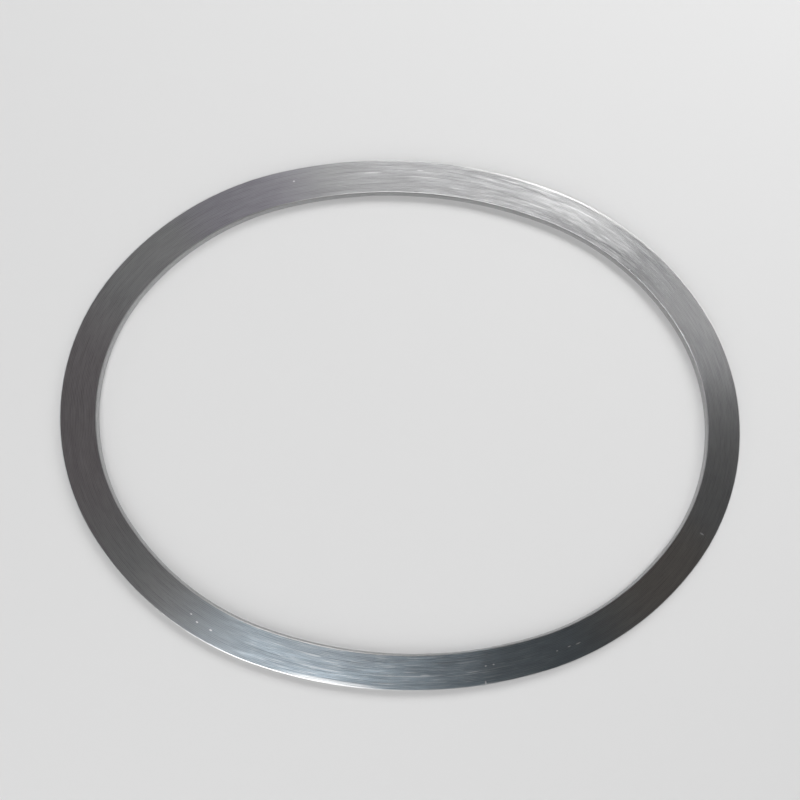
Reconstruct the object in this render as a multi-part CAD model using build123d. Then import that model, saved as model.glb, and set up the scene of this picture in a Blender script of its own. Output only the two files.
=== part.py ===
from build123d import *
import math
import os

# Oval spiral wound gasket for a manway, lying flat, in millimetres. X runs along the
# long axis of the oval, Z is up, and the origin is at the centre of the underside.
# A V-shaped metal strip and a flat graphite strip are wound together, on edge. The
# first and last plies are bare metal, welded to each other, so they are hoops here,
# and the metal turns between them run from one hoop to the other.

# Opening: eight tangent arcs of three radii, end, shoulder and side. The end and side
# arcs are a little flatter than those of an ellipse, by the same share.
opening_length = 420.0
opening_width = 320.0
flatness = 1.088
end_half_angle = 35.0

# Winding, with fewer and thicker turns than the real strips make
filler_turns = 6
filler_thickness = 2.0
metal_thickness = 1.2
bare_plies = 1.1
height = 4.5
filler_recess = 0.15

# V of the strip, which shows as a groove round the opening and a ridge round the rim
v_depth = 0.6

# Direction that the strips face where they start and end
seam_angle = -78.0

end_radius = flatness * opening_width**2 / opening_length / 2
side_radius = flatness * opening_length**2 / opening_width / 2
pitch = metal_thickness + filler_thickness
band = 2 * bare_plies + filler_turns * pitch + filler_thickness


def shoulder_arc():
    """Radius of the shoulder arcs, and the direction they face where the side starts."""
    corner = Vector(1, 0).rotate(Axis.Z, end_half_angle)
    end_centre = Vector(opening_length / 2 - end_radius, 0)
    side_centre = Vector(0, opening_width / 2 - side_radius)
    reach = end_centre + corner * end_radius - side_centre
    along = reach.dot(corner)
    radius = (reach.dot(reach) - side_radius**2) / (2 * (along - side_radius))
    facing = reach - corner * radius
    return radius, math.degrees(math.atan2(facing.Y, facing.X))


shoulder_radius, side_start = shoulder_arc()


def opening_arc(facing):
    """Centre and radius of the arc of the opening whose outward side faces this way."""
    x_side = math.copysign(1, math.cos(math.radians(facing)))
    y_side = math.copysign(1, math.sin(math.radians(facing)))
    lean = 90 - abs(abs((facing + 180) % 360 - 180) - 90)
    end_x = opening_length / 2 - end_radius
    if lean < end_half_angle:
        return Vector(x_side * end_x, 0), end_radius
    if lean > side_start:
        return Vector(0, y_side * (opening_width / 2 - side_radius)), side_radius
    back = Vector(shoulder_radius - end_radius, 0).rotate(Axis.Z, end_half_angle)
    return Vector(x_side * (end_x - back.X), -y_side * back.Y), shoulder_radius


def wound(section, turns, pitch=0.0):
    """Wind a section round the opening from the seam, as one smooth solid.

    The section is drawn with X outward from the edge of the opening. Lower half
    turns use centres half a pitch along X from those of the upper ones, so each
    half turn meets the next one half a pitch further out.
    """
    quarter = [0, end_half_angle, side_start]
    breaks = [side * step for step in quarter for side in (1, -1)]
    breaks = {(facing + half) % 360 for facing in breaks for half in (0, 180)}
    finish = seam_angle + 360 * turns
    stops = {facing + 360 * turn for facing in breaks for turn in range(-1, math.ceil(turns) + 1)}
    inner_stops = [stop for stop in sorted(stops) if seam_angle < stop < finish]
    stops = [seam_angle, *inner_stops, finish]
    pieces = []
    for start, stop in zip(stops, stops[1:]):
        half_turn = math.floor((start + stop) / 360) + 1
        centre, radius = opening_arc((start + stop) / 2)
        if half_turn % 2 == 0:
            centre += Vector(pitch / 2, 0)
        outward = Vector(1, 0).rotate(Axis.Z, start)
        upright = Plane(centre, x_dir=outward, z_dir=outward.cross(Vector(0, 0, 1)))
        profile = upright * Pos(radius + half_turn * pitch / 2, 0) * section
        pieces.append(revolve(profile, Axis(centre, (0, 0, 1)), stop - start))
    return pieces[0].fuse(*pieces[1:])


def strip_section(inner, thickness, recess=0.0):
    """Section of a flat strip on edge."""
    middle = Pos(inner + thickness / 2, height / 2)
    return middle * Rectangle(thickness, height - 2 * recess)


def hoop_section():
    """Section of the whole band, with the V of the strip on both walls."""
    points = [
        (0, 0),
        (band, 0),
        (band + v_depth, height / 2),
        (band, height),
        (0, height),
        (v_depth, height / 2),
    ]
    return make_face(Polyline(points, close=True))


metal = wound(hoop_section(), 1)
metal -= wound(strip_section(bare_plies, filler_thickness), filler_turns, pitch)
filler = wound(strip_section(bare_plies, filler_thickness, filler_recess), filler_turns, pitch)

os.makedirs("parts", exist_ok=True)
export_step(metal, "parts/metal_strip.step")
export_step(filler, "parts/graphite_filler.step")
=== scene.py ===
import math

import bmesh
import bpy
import numpy as np
from mathutils import Matrix, Vector


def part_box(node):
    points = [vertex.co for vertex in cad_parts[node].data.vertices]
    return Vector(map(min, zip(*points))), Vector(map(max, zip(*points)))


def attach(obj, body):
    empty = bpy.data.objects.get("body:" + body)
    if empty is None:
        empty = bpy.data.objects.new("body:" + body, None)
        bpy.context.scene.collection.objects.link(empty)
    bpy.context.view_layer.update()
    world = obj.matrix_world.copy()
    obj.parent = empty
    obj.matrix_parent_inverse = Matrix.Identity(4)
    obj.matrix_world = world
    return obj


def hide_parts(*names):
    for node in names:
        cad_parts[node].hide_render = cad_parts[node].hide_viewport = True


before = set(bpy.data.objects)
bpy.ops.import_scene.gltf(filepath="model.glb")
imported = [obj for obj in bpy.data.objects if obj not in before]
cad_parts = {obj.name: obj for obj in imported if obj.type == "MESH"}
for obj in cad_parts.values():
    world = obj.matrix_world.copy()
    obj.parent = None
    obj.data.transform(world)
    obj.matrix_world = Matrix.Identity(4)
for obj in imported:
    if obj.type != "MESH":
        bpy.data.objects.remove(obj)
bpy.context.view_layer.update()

print("frame loaded")

mm = 0.001

# both windings follow one oval; the box of the steel winding gives its opening and its height
gasket = {
    "band": 23.4 * mm,         # across the flat face
    "vDepth": 0.6 * mm,        # how far the V of the strip leans out at half height
    "flatness": 1.088,         # end and side arcs, against those of an ellipse
    "endHalfAngle": 35.0,
    "seam": -78.0,             # where the strips start and end, degrees from +X
    "climb": 9.0,              # degrees before the seam in which each turn steps outward
    "stepDegrees": 1.2,        # length of one facet of the winding
    "smoothBelow": 24.0,       # edges that turn by fewer degrees look smooth
    "mergeWithin": 0.004 * mm,
}

low, high = (Vector(corner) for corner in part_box("metal_strip"))
gasket["height"] = high.z - low.z
gasket["halfLength"] = (high.x - low.x) / 2 - gasket["band"] - gasket["vDepth"]
gasket["halfWidth"] = (high.y - low.y) / 2 - gasket["band"] - gasket["vDepth"]

middle = gasket["height"] / 2
nearMiddle = gasket["height"] / 4
turnEnd = gasket["seam"] + 360
climbStart = turnEnd - gasket["climb"]


def facingVector(degrees):
    return Vector((math.cos(math.radians(degrees)), math.sin(math.radians(degrees)), 0))


def ovalArcs():
    # centre and radius of the three arcs in the first quarter, and the facing where the side arc starts
    a, b = gasket["halfLength"], gasket["halfWidth"]
    endRadius = gasket["flatness"] * b * b / a
    sideRadius = gasket["flatness"] * a * a / b
    endCentre = Vector((a - endRadius, 0, 0))
    sideCentre = Vector((0, b - sideRadius, 0))
    corner = facingVector(gasket["endHalfAngle"])
    reach = endCentre + corner * endRadius - sideCentre
    radius = (reach.dot(reach) - sideRadius**2) / (2 * (reach.dot(corner) - sideRadius))
    shoulderCentre = endCentre - corner * (radius - endRadius)
    across = reach - corner * radius
    found = {
        "end": (endCentre, endRadius),
        "shoulder": (shoulderCentre, radius),
        "side": (sideCentre, sideRadius),
    }
    return found, math.degrees(math.atan2(across.y, across.x))


arcs, sideStart = ovalArcs()


def arcAt(degrees):
    # centre and radius of the arc of the opening that faces this way
    lean = 90 - abs(degrees % 180 - 90)
    if lean < gasket["endHalfAngle"]:
        centre, radius = arcs["end"]
    elif lean > sideStart:
        centre, radius = arcs["side"]
    else:
        centre, radius = arcs["shoulder"]
    outward = facingVector(degrees)
    x = centre.x * math.copysign(1, outward.x)
    y = centre.y * math.copysign(1, outward.y)
    return Vector((x, y, 0)), radius


def runsBetween(start, finish):
    # the stretches of single arcs between two facings
    gap = 1e-6
    leans = (gasket["endHalfAngle"], sideStart)
    marks = [half + side * lean for lean in leans for side in (1, -1) for half in (0, 180)]
    stops = sorted({mark % 360 + full for mark in marks for full in (-360, 0, 360)})
    stops = [stop for stop in stops if start + gap < stop < finish - gap]
    return [run for run in zip([start, *stops], [*stops, finish]) if run[1] > run[0]]


def onlySelect(piece):
    bpy.ops.object.select_all(action="DESELECT")
    piece.select_set(True)
    bpy.context.view_layer.objects.active = piece


def pickVerts(piece, wanted):
    form = bmesh.from_edit_mesh(piece.data)
    bpy.ops.mesh.select_all(action="DESELECT")
    for vert in form.verts:
        if wanted(vert):
            vert.select = True
    form.select_flush_mode()
    bmesh.update_edit_mesh(piece.data)


def stripSections(name, thickness, inset, crown, start, spacing, copies, fall=0.0):
    # a strip seen end on: upright, bent to a V, its edges crowned, and repeated outward across the band;
    # the fall is how much lower the edges of the last copy end than those of the first one start
    height = gasket["height"] - 2 * inset - 2 * crown
    midStrip = start + thickness / 2
    bpy.ops.object.select_all(action="DESELECT")
    bpy.ops.mesh.primitive_plane_add(size=1, rotation=(math.pi / 2, 0, 0), location=(midStrip, 0, middle))
    strip = bpy.context.object
    strip.name = strip.data.name = name
    strip.scale = (thickness, height, 1)
    bpy.ops.object.transform_apply(location=True, rotation=True, scale=True)
    bpy.ops.object.mode_set(mode="EDIT")
    bpy.ops.mesh.select_mode(type="VERT")
    bpy.ops.mesh.select_all(action="SELECT")
    bpy.ops.mesh.delete(type="ONLY_FACE")
    bpy.ops.mesh.select_all(action="SELECT")
    bpy.ops.mesh.subdivide(number_cuts=1)
    pickVerts(strip, lambda vert: abs(vert.co.z - middle) < nearMiddle)
    bpy.ops.transform.translate(value=(gasket["vDepth"], 0, 0))
    for side in (1, -1):
        pickVerts(strip, lambda vert: side * (vert.co.z - middle) > nearMiddle
                  and abs(vert.co.x - midStrip) < thickness / 4)
        bpy.ops.transform.translate(value=(0, 0, side * crown))
    bpy.ops.mesh.select_all(action="SELECT")
    for _ in range(copies - 1):
        bpy.ops.mesh.duplicate()
        bpy.ops.transform.translate(value=(spacing, 0, 0))
    if fall:
        slopeEdges(strip, start, fall / (copies * spacing))
    bpy.ops.object.mode_set(mode="OBJECT")
    return strip


def slopeEdges(strip, start, slope):
    # the edges of these plies lie on one slope that falls away outward
    form = bmesh.from_edit_mesh(strip.data)
    for vert in form.verts:
        if abs(vert.co.z - middle) > nearMiddle:
            vert.co.z -= math.copysign(slope * (vert.co.x - start), vert.co.z - middle)
    bmesh.update_edit_mesh(strip.data)


def facetCount(first, last):
    return max(1, round((last - first) / gasket["stepDegrees"]))


def spinOn(first, last, steps):
    centre, _ = arcAt((first + last) / 2)
    bpy.ops.mesh.spin(steps=steps, angle=-math.radians(last - first), center=centre, axis=(0, 0, 1))


def windRound(strip, start, innerStep, outerStep):
    # carry the sections round the opening to the seam; in the climb their walls step outward
    centre, radius = arcAt(start)
    strip.rotation_euler.z = math.radians(start)
    strip.location = centre + facingVector(start) * radius
    onlySelect(strip)
    bpy.ops.object.transform_apply(location=True, rotation=True, scale=True)
    bpy.ops.object.mode_set(mode="EDIT")
    bpy.ops.mesh.select_all(action="SELECT")
    for first, last in runsBetween(start, climbStart):
        spinOn(first, last, facetCount(first, last))
    climbed = 0.0
    for first, last in runsBetween(climbStart, turnEnd):
        count = facetCount(first, last)
        size = (last - first) / count
        for step in range(count):
            facing = first + (step + 1) * size
            spinOn(facing - size, facing, 1)
            along = (facing - climbStart) / gasket["climb"]
            eased = along * along * (3 - 2 * along)
            moveRing(strip, facing, (eased - climbed) * innerStep, (eased - climbed) * outerStep)
            climbed = eased
    bpy.ops.object.mode_set(mode="OBJECT")


def moveRing(strip, facing, innerShift, outerShift):
    # the ring just spun is selected; its inner and outer walls may step by different amounts
    outward = facingVector(facing)
    if math.isclose(innerShift, outerShift):
        bpy.ops.transform.translate(value=outward * innerShift)
        return
    form = bmesh.from_edit_mesh(strip.data)
    levels = {}
    for vert in form.verts:
        if vert.select:
            levels.setdefault(round(vert.co.z, 6), []).append(vert)
    for row in levels.values():
        row.sort(key=lambda vert: vert.co.dot(outward))
        for place, vert in enumerate(row):
            share = place / (len(row) - 1) if len(row) > 1 else 0.5
            vert.co += outward * (innerShift + (outerShift - innerShift) * share)
    bmesh.update_edit_mesh(strip.data)


def joinStrips(name, strips):
    # one piece, its strips closed where they end at the seam
    bpy.ops.object.select_all(action="DESELECT")
    for strip in strips:
        strip.select_set(True)
    bpy.context.view_layer.objects.active = strips[0]
    bpy.ops.object.join()
    whole = bpy.context.object
    whole.name = whole.data.name = name
    bpy.ops.object.mode_set(mode="EDIT")
    bpy.ops.mesh.select_mode(type="VERT")
    bpy.ops.mesh.select_all(action="SELECT")
    bpy.ops.mesh.remove_doubles(threshold=gasket["mergeWithin"])
    bpy.ops.mesh.select_all(action="DESELECT")
    bpy.ops.mesh.select_non_manifold(extend=False, use_wire=False, use_multi_face=False,
                                     use_non_contiguous=False, use_verts=False)
    bpy.ops.mesh.fill_holes(sides=0)
    bpy.ops.mesh.select_all(action="SELECT")
    bpy.ops.mesh.normals_make_consistent(inside=False)
    bpy.ops.object.mode_set(mode="OBJECT")
    bpy.ops.object.shade_smooth_by_angle(angle=math.radians(gasket["smoothBelow"]))
    mapStrip(whole)
    return whole


def mapStrip(piece):
    # UV map that follows the strips: u is the facing as a share of a turn, v the place across the band
    mesh = piece.data
    points = np.empty(len(mesh.vertices) * 3)
    mesh.vertices.foreach_get("co", points)
    points = points.reshape(-1, 3)
    folded = np.abs(points[:, :2])
    leans, places = {}, {}
    for kind, (centre, radius) in arcs.items():
        arm = folded - np.array(centre[:2])
        leans[kind] = np.degrees(np.arctan2(arm[:, 1], arm[:, 0]))
        places[kind] = np.hypot(arm[:, 0], arm[:, 1]) - radius
    onArc = [leans["end"] < gasket["endHalfAngle"], leans["side"] > sideStart]
    lean = np.select(onArc, [leans["end"], leans["side"]], leans["shoulder"])
    place = np.select(onArc, [places["end"], places["side"]], places["shoulder"]) / gasket["band"]
    lean = np.where(points[:, 0] < 0, 180 - lean, lean)
    facing = np.where(points[:, 1] < 0, -lean, lean)
    corners = np.empty(len(mesh.loops), dtype=np.int64)
    mesh.loops.foreach_get("vertex_index", corners)
    starts = np.empty(len(mesh.polygons), dtype=np.int64)
    mesh.polygons.foreach_get("loop_start", starts)
    totals = np.empty(len(mesh.polygons), dtype=np.int64)
    mesh.polygons.foreach_get("loop_total", totals)
    # a face's corners keep close to its first one, so that no face crosses the end of the map
    first = np.repeat(facing[corners[starts]], totals)
    around = first + (facing[corners] - first + 180) % 360 - 180
    layer = mesh.uv_layers.new(name="strip")
    layer.data.foreach_set("uv", np.stack([around / 360, place[corners]], axis=1).ravel())


steel = {
    "thickness": 0.18 * mm,
    "bareSpacing": 0.2 * mm,
    "barePlies": 3,            # at each side of the band
    "crown": 0.02 * mm,        # how far the edge of the strip rounds over
    "rimFall": 0.32 * mm,      # how far the edges of the outer plies slope away
    "fillerLayers": 22,
}

bareBand = steel["barePlies"] * steel["bareSpacing"]
turnsStart = bareBand - steel["bareSpacing"]
pitch = (gasket["band"] - bareBand - turnsStart) / steel["fillerLayers"]


def steelSections(name, start, spacing, copies, fall=0.0):
    return stripSections(name, steel["thickness"], 0, steel["crown"], start, spacing, copies, fall)


# the last ply of the inner ones is the first of the turns, so one fewer stands apart from them
innerPlies = steelSections("innerPlies", 0, steel["bareSpacing"], steel["barePlies"] - 1)
windRound(innerPlies, gasket["seam"], steel["bareSpacing"], steel["bareSpacing"])
turns = steelSections("turns", turnsStart, pitch, steel["fillerLayers"])
windRound(turns, gasket["seam"], pitch, pitch)
outerPlies = steelSections("outerPlies", gasket["band"] - bareBand, steel["bareSpacing"],
                           steel["barePlies"], steel["rimFall"])
windRound(outerPlies, gasket["seam"], steel["bareSpacing"], steel["bareSpacing"])
steelWinding = joinStrips("steelWinding", [turns, innerPlies, outerPlies])
print("steel wound:", len(steelWinding.data.polygons), "faces")

graphite = {
    "thickness": pitch - steel["bareSpacing"],
    "inset": 0.03 * mm,        # below the edges of the steel
    "crown": 0.03 * mm,
    "sliver": 0.03 * mm,       # what the filler thins to where it starts and ends
}


def fillerSections(name, thickness, start, copies):
    return stripSections(name, thickness, graphite["inset"], graphite["crown"], start, pitch, copies)


layers = fillerSections("layers", graphite["thickness"], bareBand, steel["fillerLayers"] - 1)
windRound(layers, gasket["seam"], pitch, pitch)
lastStart = bareBand + (steel["fillerLayers"] - 1) * pitch
lastLayer = fillerSections("lastLayer", graphite["thickness"], lastStart, 1)
windRound(lastLayer, gasket["seam"], pitch, steel["bareSpacing"] + graphite["sliver"])
lead = fillerSections("lead", graphite["sliver"], bareBand - steel["bareSpacing"], 1)
windRound(lead, climbStart, steel["bareSpacing"],
          steel["bareSpacing"] + graphite["thickness"] - graphite["sliver"])
graphiteFiller = joinStrips("graphiteFiller", [layers, lastLayer, lead])
print("graphite wound:", len(graphiteFiller.data.polygons), "faces")


class Wire:
    # a socket of a node tree that can be used in sums; with no socket it only adds nodes
    def __init__(self, tree, socket=None):
        self.tree = tree
        self.socket = socket

    def node(self, kind, settings=None, sockets=None, out=0):
        made = self.tree.nodes.new(kind)
        for key, value in (settings or {}).items():
            setattr(made, key, value)
        for key, value in (sockets or {}).items():
            if isinstance(value, Wire):
                self.tree.links.new(value.socket, made.inputs[key])
            else:
                made.inputs[key].default_value = value
        return Wire(self.tree, made.outputs[out] if made.outputs else None)

    def pick(self, out):
        # another output of the same node
        return Wire(self.tree, self.socket.node.outputs[out])

    def calc(self, operation, first, second=0.0):
        return self.node("ShaderNodeMath", {"operation": operation}, {0: first, 1: second})

    def __add__(self, other):
        return self.calc("ADD", self, other)

    def __radd__(self, other):
        return self.calc("ADD", other, self)

    def __sub__(self, other):
        return self.calc("SUBTRACT", self, other)

    def __rsub__(self, other):
        return self.calc("SUBTRACT", other, self)

    def __mul__(self, other):
        return self.calc("MULTIPLY", self, other)

    def __rmul__(self, other):
        return self.calc("MULTIPLY", other, self)

    def __truediv__(self, other):
        return self.calc("DIVIDE", self, other)

    def __rtruediv__(self, other):
        return self.calc("DIVIDE", other, self)


def mixColour(factor, first, second, blend="MIX"):
    # 6 and 7 are the colour inputs of this node, and 2 is its colour output
    return factor.node("ShaderNodeMix", {"data_type": "RGBA", "blend_type": blend},
                       {0: factor, 6: first, 7: second}, 2)


def fade(value, low, high, first=0.0, last=1.0, interpolation="SMOOTHSTEP"):
    return value.node("ShaderNodeMapRange", {"interpolation_type": interpolation},
                      {0: value, 1: low, 2: high, 3: first, 4: last})


def spread(value, low, high):
    # stretch the useful part of a noise to 0..1
    return fade(value, low, high, interpolation="LINEAR")


def strongest(masks):
    result = masks[0]
    for mask in masks[1:]:
        result = result.calc("MAXIMUM", result, mask)
    return result


def newMaterial(name):
    material = bpy.data.materials.new(name)
    material.use_nodes = True
    material.node_tree.nodes.clear()
    return material, Wire(material.node_tree)


def stripCoordinates(graph):
    # around, as a share of a turn, and across the band in millimetres
    strip = graph.node("ShaderNodeUVMap", {"uv_map": "strip"})
    parts = graph.node("ShaderNodeSeparateXYZ", None, {0: strip})
    return parts.pick(0), parts.pick(1) * (gasket["band"] / mm)


def stretchedNoise(graph, around, across, scales, seed, detail=3.0):
    # noise drawn out along the strips, with no join where the turn closes
    acrossScale, aroundScale = scales
    angle = around * math.tau
    vector = graph.node("ShaderNodeCombineXYZ", None, {
        0: across * acrossScale + seed,
        1: graph.calc("COSINE", angle) * aroundScale,
        2: graph.calc("SINE", angle) * aroundScale,
    })
    return graph.node("ShaderNodeTexNoise", {"noise_dimensions": "3D"},
                      {"Vector": vector, "Scale": 1.0, "Detail": detail})


def nearFacing(graph, around, facing, halfWidth):
    # 1 at this facing, falling smoothly to 0 at either side
    angle = (around - facing / 360) * math.tau
    return fade(graph.calc("COSINE", angle), math.cos(math.radians(halfWidth)), 1.0)


# marks on the faces, both real wear and painted highlight and painted shade: how strong they are, and for
# each one its facing in degrees, its place across the band, its length and its width in mm
wearAndPaintedLight = {
    "nicks": {"strength": 1.0, "spots": [
        (238.1, 12.4, 1.7, 1.1), (239.9, 14.7, 2.0, 1.2), (242.9, 14.7, 2.2, 1.3), (51.3, 0.8, 1.6, 1.2),
        (106.3, 14.7, 1.6, 1.1), (280.7, 10.9, 1.5, 1.0), (281.7, 10.8, 1.4, 1.0), (291.1, 12.7, 1.4, 1.0),
        (331.3, 14.4, 1.3, 3.6), (293.7, 12.9, 2.8, 0.8), (295.6, 13.4, 4.0, 0.8), (280.4, 21.8, 1.3, 2.6),
    ]},
    # bright rubbed streaks, partly real and partly painted highlight, all inside the two bright lobes
    "rubsAndPaintedGlints": {"strength": 0.4, "spots": [
        (96.2, 14.2, 13.0, 0.9), (90.2, 16.4, 5.0, 0.9), (89.8, 11.8, 26.0, 0.9), (81.9, 17.3, 18.0, 1.0),
        (74.0, 19.5, 26.0, 0.8), (66.0, 16.5, 34.0, 0.9), (260.7, 14.7, 30.0, 0.9), (270.5, 14.0, 58.0, 0.8),
        (273.1, 13.4, 7.0, 1.1), (279.0, 13.6, 9.0, 0.9),
    ]},
    # painted highlight: a paler strip along the outer edge in both bright lobes
    "paintedEdgeHighlight": {"strength": 0.6, "spots": [(262.0, 22.0, 66.0, 3.4), (68.0, 22.5, 120.0, 2.0)]},
    # painted highlight: a paler patch across the band where the upper right highlight falls
    "paintedLobeHighlight": {"strength": 0.21, "spots": [(65.0, 12.5, 86.0, 17.0)]},
    # dark streaks, partly real and partly painted shade, all inside the two bright lobes
    "dullStreaksAndPaintedShade": {"strength": 0.5, "spots": [
        (264.0, 12.0, 18.0, 0.9), (270.0, 3.8, 14.0, 0.8), (268.0, 19.0, 20.0, 0.8), (276.0, 5.6, 22.0, 0.8),
        (70.0, 13.0, 22.0, 0.8), (62.0, 3.2, 48.0, 1.2), (80.0, 19.0, 16.0, 0.8), (58.0, 17.5, 18.0, 0.8),
    ]},
    # painted shade: darker patches on the inner half of both bright lobes and across the band at the lower
    # right
    "paintedShade": {"strength": 0.25, "spots": [
        (56.0, 2.0, 120.0, 14.0), (262.0, 4.0, 80.0, 16.0), (291.0, 12.0, 96.0, 34.0),
    ]},
    "softEdge": (1.3, 0.2),    # squared distance from the middle of a spot at which it starts and is full
}

# fine scratches along the strips, partly real and partly painted highlight and painted shade, crowded into
# the two bright lobes
scratchesAndGlints = {
    "zones": [(66.0, 34.0), (268.0, 28.0)],    # where they crowd, which is the two bright lobes, and how far to each side
    "scales": (2.4, 17.0),     # across and along the strips
    "bright": (0.57, 0.63), "brightStrength": 0.38,
    "dark": (0.42, 0.36), "darkStrength": 0.34,
}

# what the faces of both strips share
face = {
    "toneRange": (0.3, 0.7),   # the useful part of each noise
    "leanRange": (0.25, 0.75),
    "leanDetail": 2.0,
    "toneShare": 0.8,          # of each turn's own tone; the rest is grain
    "grainScales": (5.0, 60.0),
    "wallRise": 1.3,           # the grain lines go on up the walls, this much for each mm of height
    "calmLean": 0.7, "crowdedLean": 0.25,      # tilt of the turns everywhere, and more among the scratches
    "roughness": 0.335, "roughnessSpread": 0.2,
    "anisotropy": 0.15,
    "grainTurn": 0.25,         # the grain runs along the strips, so it spreads a highlight across them
    "seedStep": 40.0,
    # facing, degrees to each side and tint of the faint casts
    "casts": [
        (272.0, 44.0, (0.83, 0.97, 1.07, 1)),
        (315.0, 22.0, (1.06, 0.99, 0.93, 1)),
        (185.0, 40.0, (1.04, 0.97, 0.99, 1)),
        (117.0, 16.0, (1.00, 0.97, 1.06, 1)),
    ],
}


def wearAndLightMask(graph, around, across, kind):
    # soft oval spots, each measured along its own arc
    masks = []
    for facing, place, length, width in wearAndPaintedLight[kind]["spots"]:
        radius = arcAt(facing)[1] / mm + place
        # the shift keeps the sum above zero and half a turn away from its jump
        turn = graph.calc("FRACT", around - facing / 360 + 1.5) - 0.5
        along = turn * (math.tau * radius * 2 / length)
        aside = (across - place) * (2 / width)
        masks.append(fade(along * along + aside * aside, *wearAndPaintedLight["softEdge"]))
    return strongest(masks) * wearAndPaintedLight[kind]["strength"]


def stripFace(graph, look):
    # tone and tilt of each turn, grain, casts, wear, and painted highlights and painted shade in the two
    # bright lobes
    around, across = stripCoordinates(graph)
    seeds = [look["seed"] + step * face["seedStep"] for step in range(4)]
    steps = (across - look["toneStart"]) / (pitch / mm)
    turn = graph.calc("FLOOR", steps)
    within = graph.calc("FRACT", steps) - 0.5
    toneNoise = stretchedNoise(graph, around, turn, look["toneScales"], seeds[0])
    tone = spread(toneNoise, *face["toneRange"])
    leanNoise = stretchedNoise(graph, around, turn, look["leanScales"], seeds[1], face["leanDetail"])
    lean = spread(leanNoise, *face["leanRange"])
    place = graph.node("ShaderNodeTexCoord", None, None, "Object")
    level = graph.node("ShaderNodeSeparateXYZ", None, {0: place}).pick(2) / mm
    girth = across + level * face["wallRise"]
    grain = stretchedNoise(graph, around, girth, face["grainScales"], seeds[2])
    shade = tone * face["toneShare"] + grain * (1 - face["toneShare"])
    colour = mixColour(shade, look["dark"], look["pale"])
    for facing, halfWidth, cast in face["casts"]:
        colour = mixColour(nearFacing(graph, around, facing, halfWidth), colour, cast, "MULTIPLY")

    crowd = strongest([nearFacing(graph, around, *zone) for zone in scratchesAndGlints["zones"]])
    lines = stretchedNoise(graph, around, girth, scratchesAndGlints["scales"], seeds[3])
    # dark lines paint shade and bright lines paint highlight along the scratches in the two bright lobes
    darkLines = spread(lines, *scratchesAndGlints["dark"]) * crowd * scratchesAndGlints["darkStrength"]
    brightLines = spread(lines, *scratchesAndGlints["bright"]) * crowd * scratchesAndGlints["brightStrength"]
    colour = mixColour(darkLines, colour, look["dullAndShade"])
    # dark streaks that are partly painted shade, then patches of painted shade
    for kind in ("dullStreaksAndPaintedShade", "paintedShade"):
        colour = mixColour(wearAndLightMask(graph, around, across, kind), colour, look["dullAndShade"])
    colour = mixColour(brightLines, colour, look["bare"])
    # painted highlight across the band in the upper right bright lobe
    colour = mixColour(wearAndLightMask(graph, around, across, "paintedLobeHighlight"), colour, look["bare"])
    # bare metal at nicks and rubs, and painted highlight along the outer edge in both lobes
    bared = strongest([wearAndLightMask(graph, around, across, kind) for kind in ("nicks", "rubsAndPaintedGlints", "paintedEdgeHighlight")])
    colour = mixColour(bared, colour, look["bare"])

    leaning = crowd * face["crowdedLean"] + face["calmLean"]
    tilt = within * (lean - 0.5) * leaning * (look["lean"] * pitch / mm)
    bump = graph.node("ShaderNodeBump", None,
                      {"Strength": 1.0, "Distance": mm, "Height": tilt + grain * look["grain"]})
    return across, colour, grain, bump


def finishStrip(material, graph, colour, grain, bump):
    shader = graph.node("ShaderNodeBsdfPrincipled", None, {
        "Base Color": colour,
        "Metallic": 1.0,
        "Roughness": face["roughness"] + (grain - 0.5) * face["roughnessSpread"],
        "Anisotropic": face["anisotropy"],
        "Anisotropic Rotation": face["grainTurn"],
        "Normal": bump,
    })
    graph.node("ShaderNodeOutputMaterial", None, {0: shader})
    return material


# each turn keeps one tone, so the tone of a strip changes in the middle of the other strip, in mm
midSteel = (turnsStart + steel["thickness"] / 2) / mm
midFiller = midSteel - pitch / mm / 2

steelLook = {
    "pale": (0.50, 0.50, 0.505, 1), "dark": (0.38, 0.38, 0.385, 1),
    # bare is also the colour of painted highlights, and dull also the colour of painted shade
    "bare": (0.86, 0.86, 0.86, 1), "dullAndShade": (0.25, 0.25, 0.255, 1),
    # outer plies: bare steel, lightened further as a painted highlight along the outer edge
    "rim": (0.76, 0.76, 0.765, 1), "rimDark": (0.62, 0.62, 0.625, 1),
    # inner plies and wall: bare steel, lightened as painted light on the inner wall
    "innerRimAndPaintedLight": (0.58, 0.58, 0.585, 1), "innerRimAndPaintedLightDark": (0.46, 0.46, 0.465, 1),
    "rimLines": (0.35, 0.65),  # the part of the grain that lines the rims
    "rimMargin": 0.05,         # mm by which the rim's colour starts before the outer plies do
    "toneScales": (3.7, 10.0), "leanScales": (5.3, 8.0),    # from turn to turn, and round the ring
    "lean": 0.07, "grain": 0.006,      # slope of the tilted turns, and height of the grain in mm
    "toneStart": midFiller,
    "seed": 3.0,
}


def brushedSteel():
    material, graph = newMaterial("brushedSteel")
    across, colour, grain, bump = stripFace(graph, steelLook)
    lined = spread(grain, *steelLook["rimLines"])
    outside = graph.calc("GREATER_THAN", across, (gasket["band"] - bareBand) / mm - steelLook["rimMargin"])
    inside = graph.calc("LESS_THAN", across, bareBand / mm)
    # painted highlight on the bare outer plies, and painted light on the bare inner plies and wall
    colour = mixColour(outside, colour, mixColour(lined, steelLook["rimDark"], steelLook["rim"]))
    colour = mixColour(inside, colour, mixColour(lined, steelLook["innerRimAndPaintedLightDark"], steelLook["innerRimAndPaintedLight"]))
    return finishStrip(material, graph, colour, grain, bump)


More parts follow.
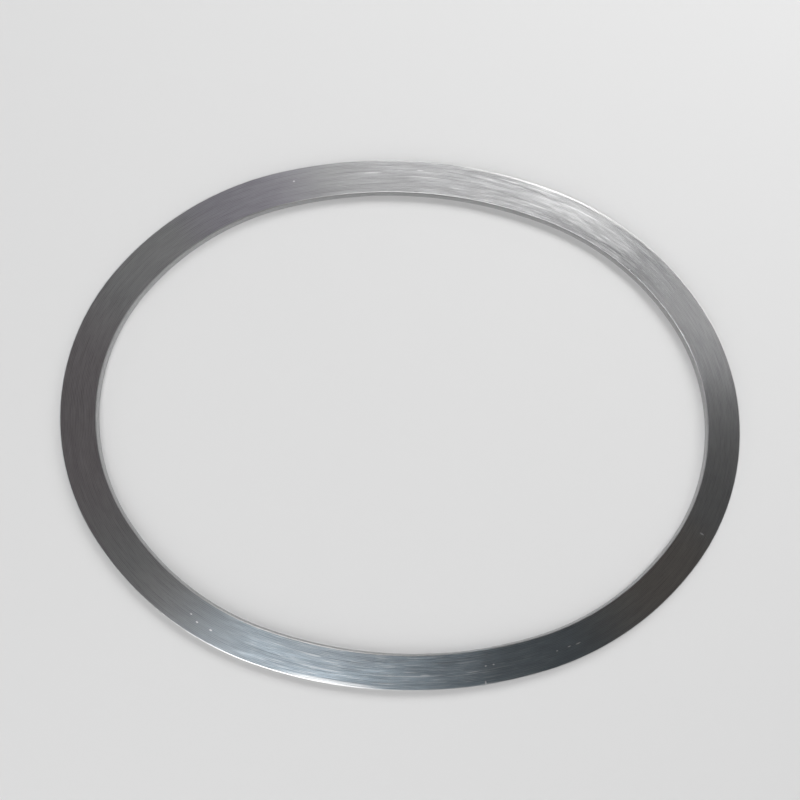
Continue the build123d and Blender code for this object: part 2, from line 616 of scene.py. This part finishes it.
graphiteLook = {
    "pale": (0.41, 0.41, 0.415, 1), "dark": (0.30, 0.30, 0.305, 1),
    # bare is also the colour of painted highlights, and dull also the colour of painted shade
    "bare": (0.82, 0.82, 0.82, 1), "dullAndShade": (0.20, 0.20, 0.205, 1),
    "toneScales": (3.7, 11.0), "leanScales": (5.3, 9.0),
    "lean": 0.11, "grain": 0.008,
    "toneStart": midSteel,
    "seed": 31.0,
}


def rolledGraphite():
    material, graph = newMaterial("rolledGraphite")
    _, colour, grain, bump = stripFace(graph, graphiteLook)
    return finishStrip(material, graph, colour, grain, bump)


steelWinding.data.materials.append(brushedSteel())
graphiteFiller.data.materials.append(rolledGraphite())
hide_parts("metal_strip")
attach(steelWinding, "root")
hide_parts("graphite_filler")
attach(graphiteFiller, "root")
print("strips finished")

white = (1, 1, 1, 1)
studio = {
    "floorColour": (0.82, 0.82, 0.82, 1), "floorRoughness": 0.85, "floorSize": 60.0,
    "backdrop": 0.58, "ceiling": 0.04,
    "sweep": (0.45, 1.7),      # how far out the floor starts and ends turning into the backdrop
    "horizon": (0.36, 0.60),   # how steeply up the backdrop starts and ends fading into the ceiling
    "distance": 2.2,
    # azimuth, elevation, width, height, watts
    "softboxes": {
        "key": (77.5, 36.0, 1.8, 0.9, 25.0),
        "fill": (33.5, 28.0, 0.8, 0.8, 11.5),
        "back": (246.5, 36.0, 1.0, 2.8, 31.0),
        "side": (122.0, 63.0, 1.2, 1.2, 2.5),
    },
}


def paintedFloor():
    material, graph = newMaterial("floorPaint")
    paint = graph.node("ShaderNodeBsdfPrincipled", None,
                       {"Base Color": studio["floorColour"], "Roughness": studio["floorRoughness"]})
    glow = graph.node("ShaderNodeEmission", None, {"Color": white, "Strength": studio["backdrop"]})
    spot = graph.node("ShaderNodeTexCoord", None, None, "Object")
    reach = graph.node("ShaderNodeVectorMath", {"operation": "LENGTH"}, {0: spot}, "Value")
    surface = graph.node("ShaderNodeMixShader", None, {0: fade(reach, *studio["sweep"]), 1: paint, 2: glow})
    graph.node("ShaderNodeOutputMaterial", None, {0: surface})
    return material


bpy.ops.object.select_all(action="DESELECT")
bpy.ops.mesh.primitive_plane_add(size=studio["floorSize"])
floor = bpy.context.object
floor.name = "floor"
floor.data.materials.append(paintedFloor())

world = bpy.data.worlds.new("studio")
bpy.context.scene.world = world
world.use_nodes = True
world.node_tree.nodes.clear()
graph = Wire(world.node_tree)
view = graph.node("ShaderNodeTexCoord", None, None, "Generated")
up = graph.node("ShaderNodeSeparateXYZ", None, {0: view}).pick(2)
sky = fade(up, *studio["horizon"], studio["backdrop"], studio["ceiling"])
background = graph.node("ShaderNodeBackground", None, {"Color": white, "Strength": sky})
graph.node("ShaderNodeOutputWorld", None, {0: background})


def softbox(name, azimuth, elevation, width, height, power):
    # a rectangular lamp that looks at the middle of the gasket
    lamp = bpy.data.lights.new(name, "AREA")
    lamp.shape = "RECTANGLE"
    lamp.size, lamp.size_y = width, height
    lamp.energy = power
    box = bpy.data.objects.new(name, lamp)
    bpy.context.collection.objects.link(box)
    flat = facingVector(azimuth) * math.cos(math.radians(elevation))
    box.location = (flat + Vector((0, 0, math.sin(math.radians(elevation))))) * studio["distance"]
    box.rotation_euler = (math.radians(90 - elevation), 0, math.radians(azimuth + 90))


for name, setting in studio["softboxes"].items():
    softbox(name, *setting)

camera = {
    "place": (-8.5 * mm, -69.7 * mm, 380.8 * mm + gasket["height"]),
    "tilt": -3.17, "pan": 3.07, "roll": -2.39,
    "lens": 25.2, "sensor": 36.0, "shiftX": -0.030, "shiftY": 0.111,
    "nearest": 0.01,
}

lens = bpy.data.cameras.new("camera")
lens.lens = camera["lens"]
lens.sensor_width = camera["sensor"]
lens.shift_x, lens.shift_y = camera["shiftX"], camera["shiftY"]
lens.clip_start = camera["nearest"]
eye = bpy.data.objects.new("camera", lens)
bpy.context.collection.objects.link(eye)
turned = (Matrix.Rotation(math.radians(camera["tilt"]), 3, "X")
          @ Matrix.Rotation(math.radians(camera["pan"]), 3, "Y")
          @ Matrix.Rotation(math.radians(camera["roll"]), 3, "Z")).transposed()
eye.matrix_world = Matrix.Translation(camera["place"]) @ turned.to_4x4()
bpy.context.scene.camera = eye
bpy.context.scene.view_settings.view_transform = "Standard"
print("studio set")
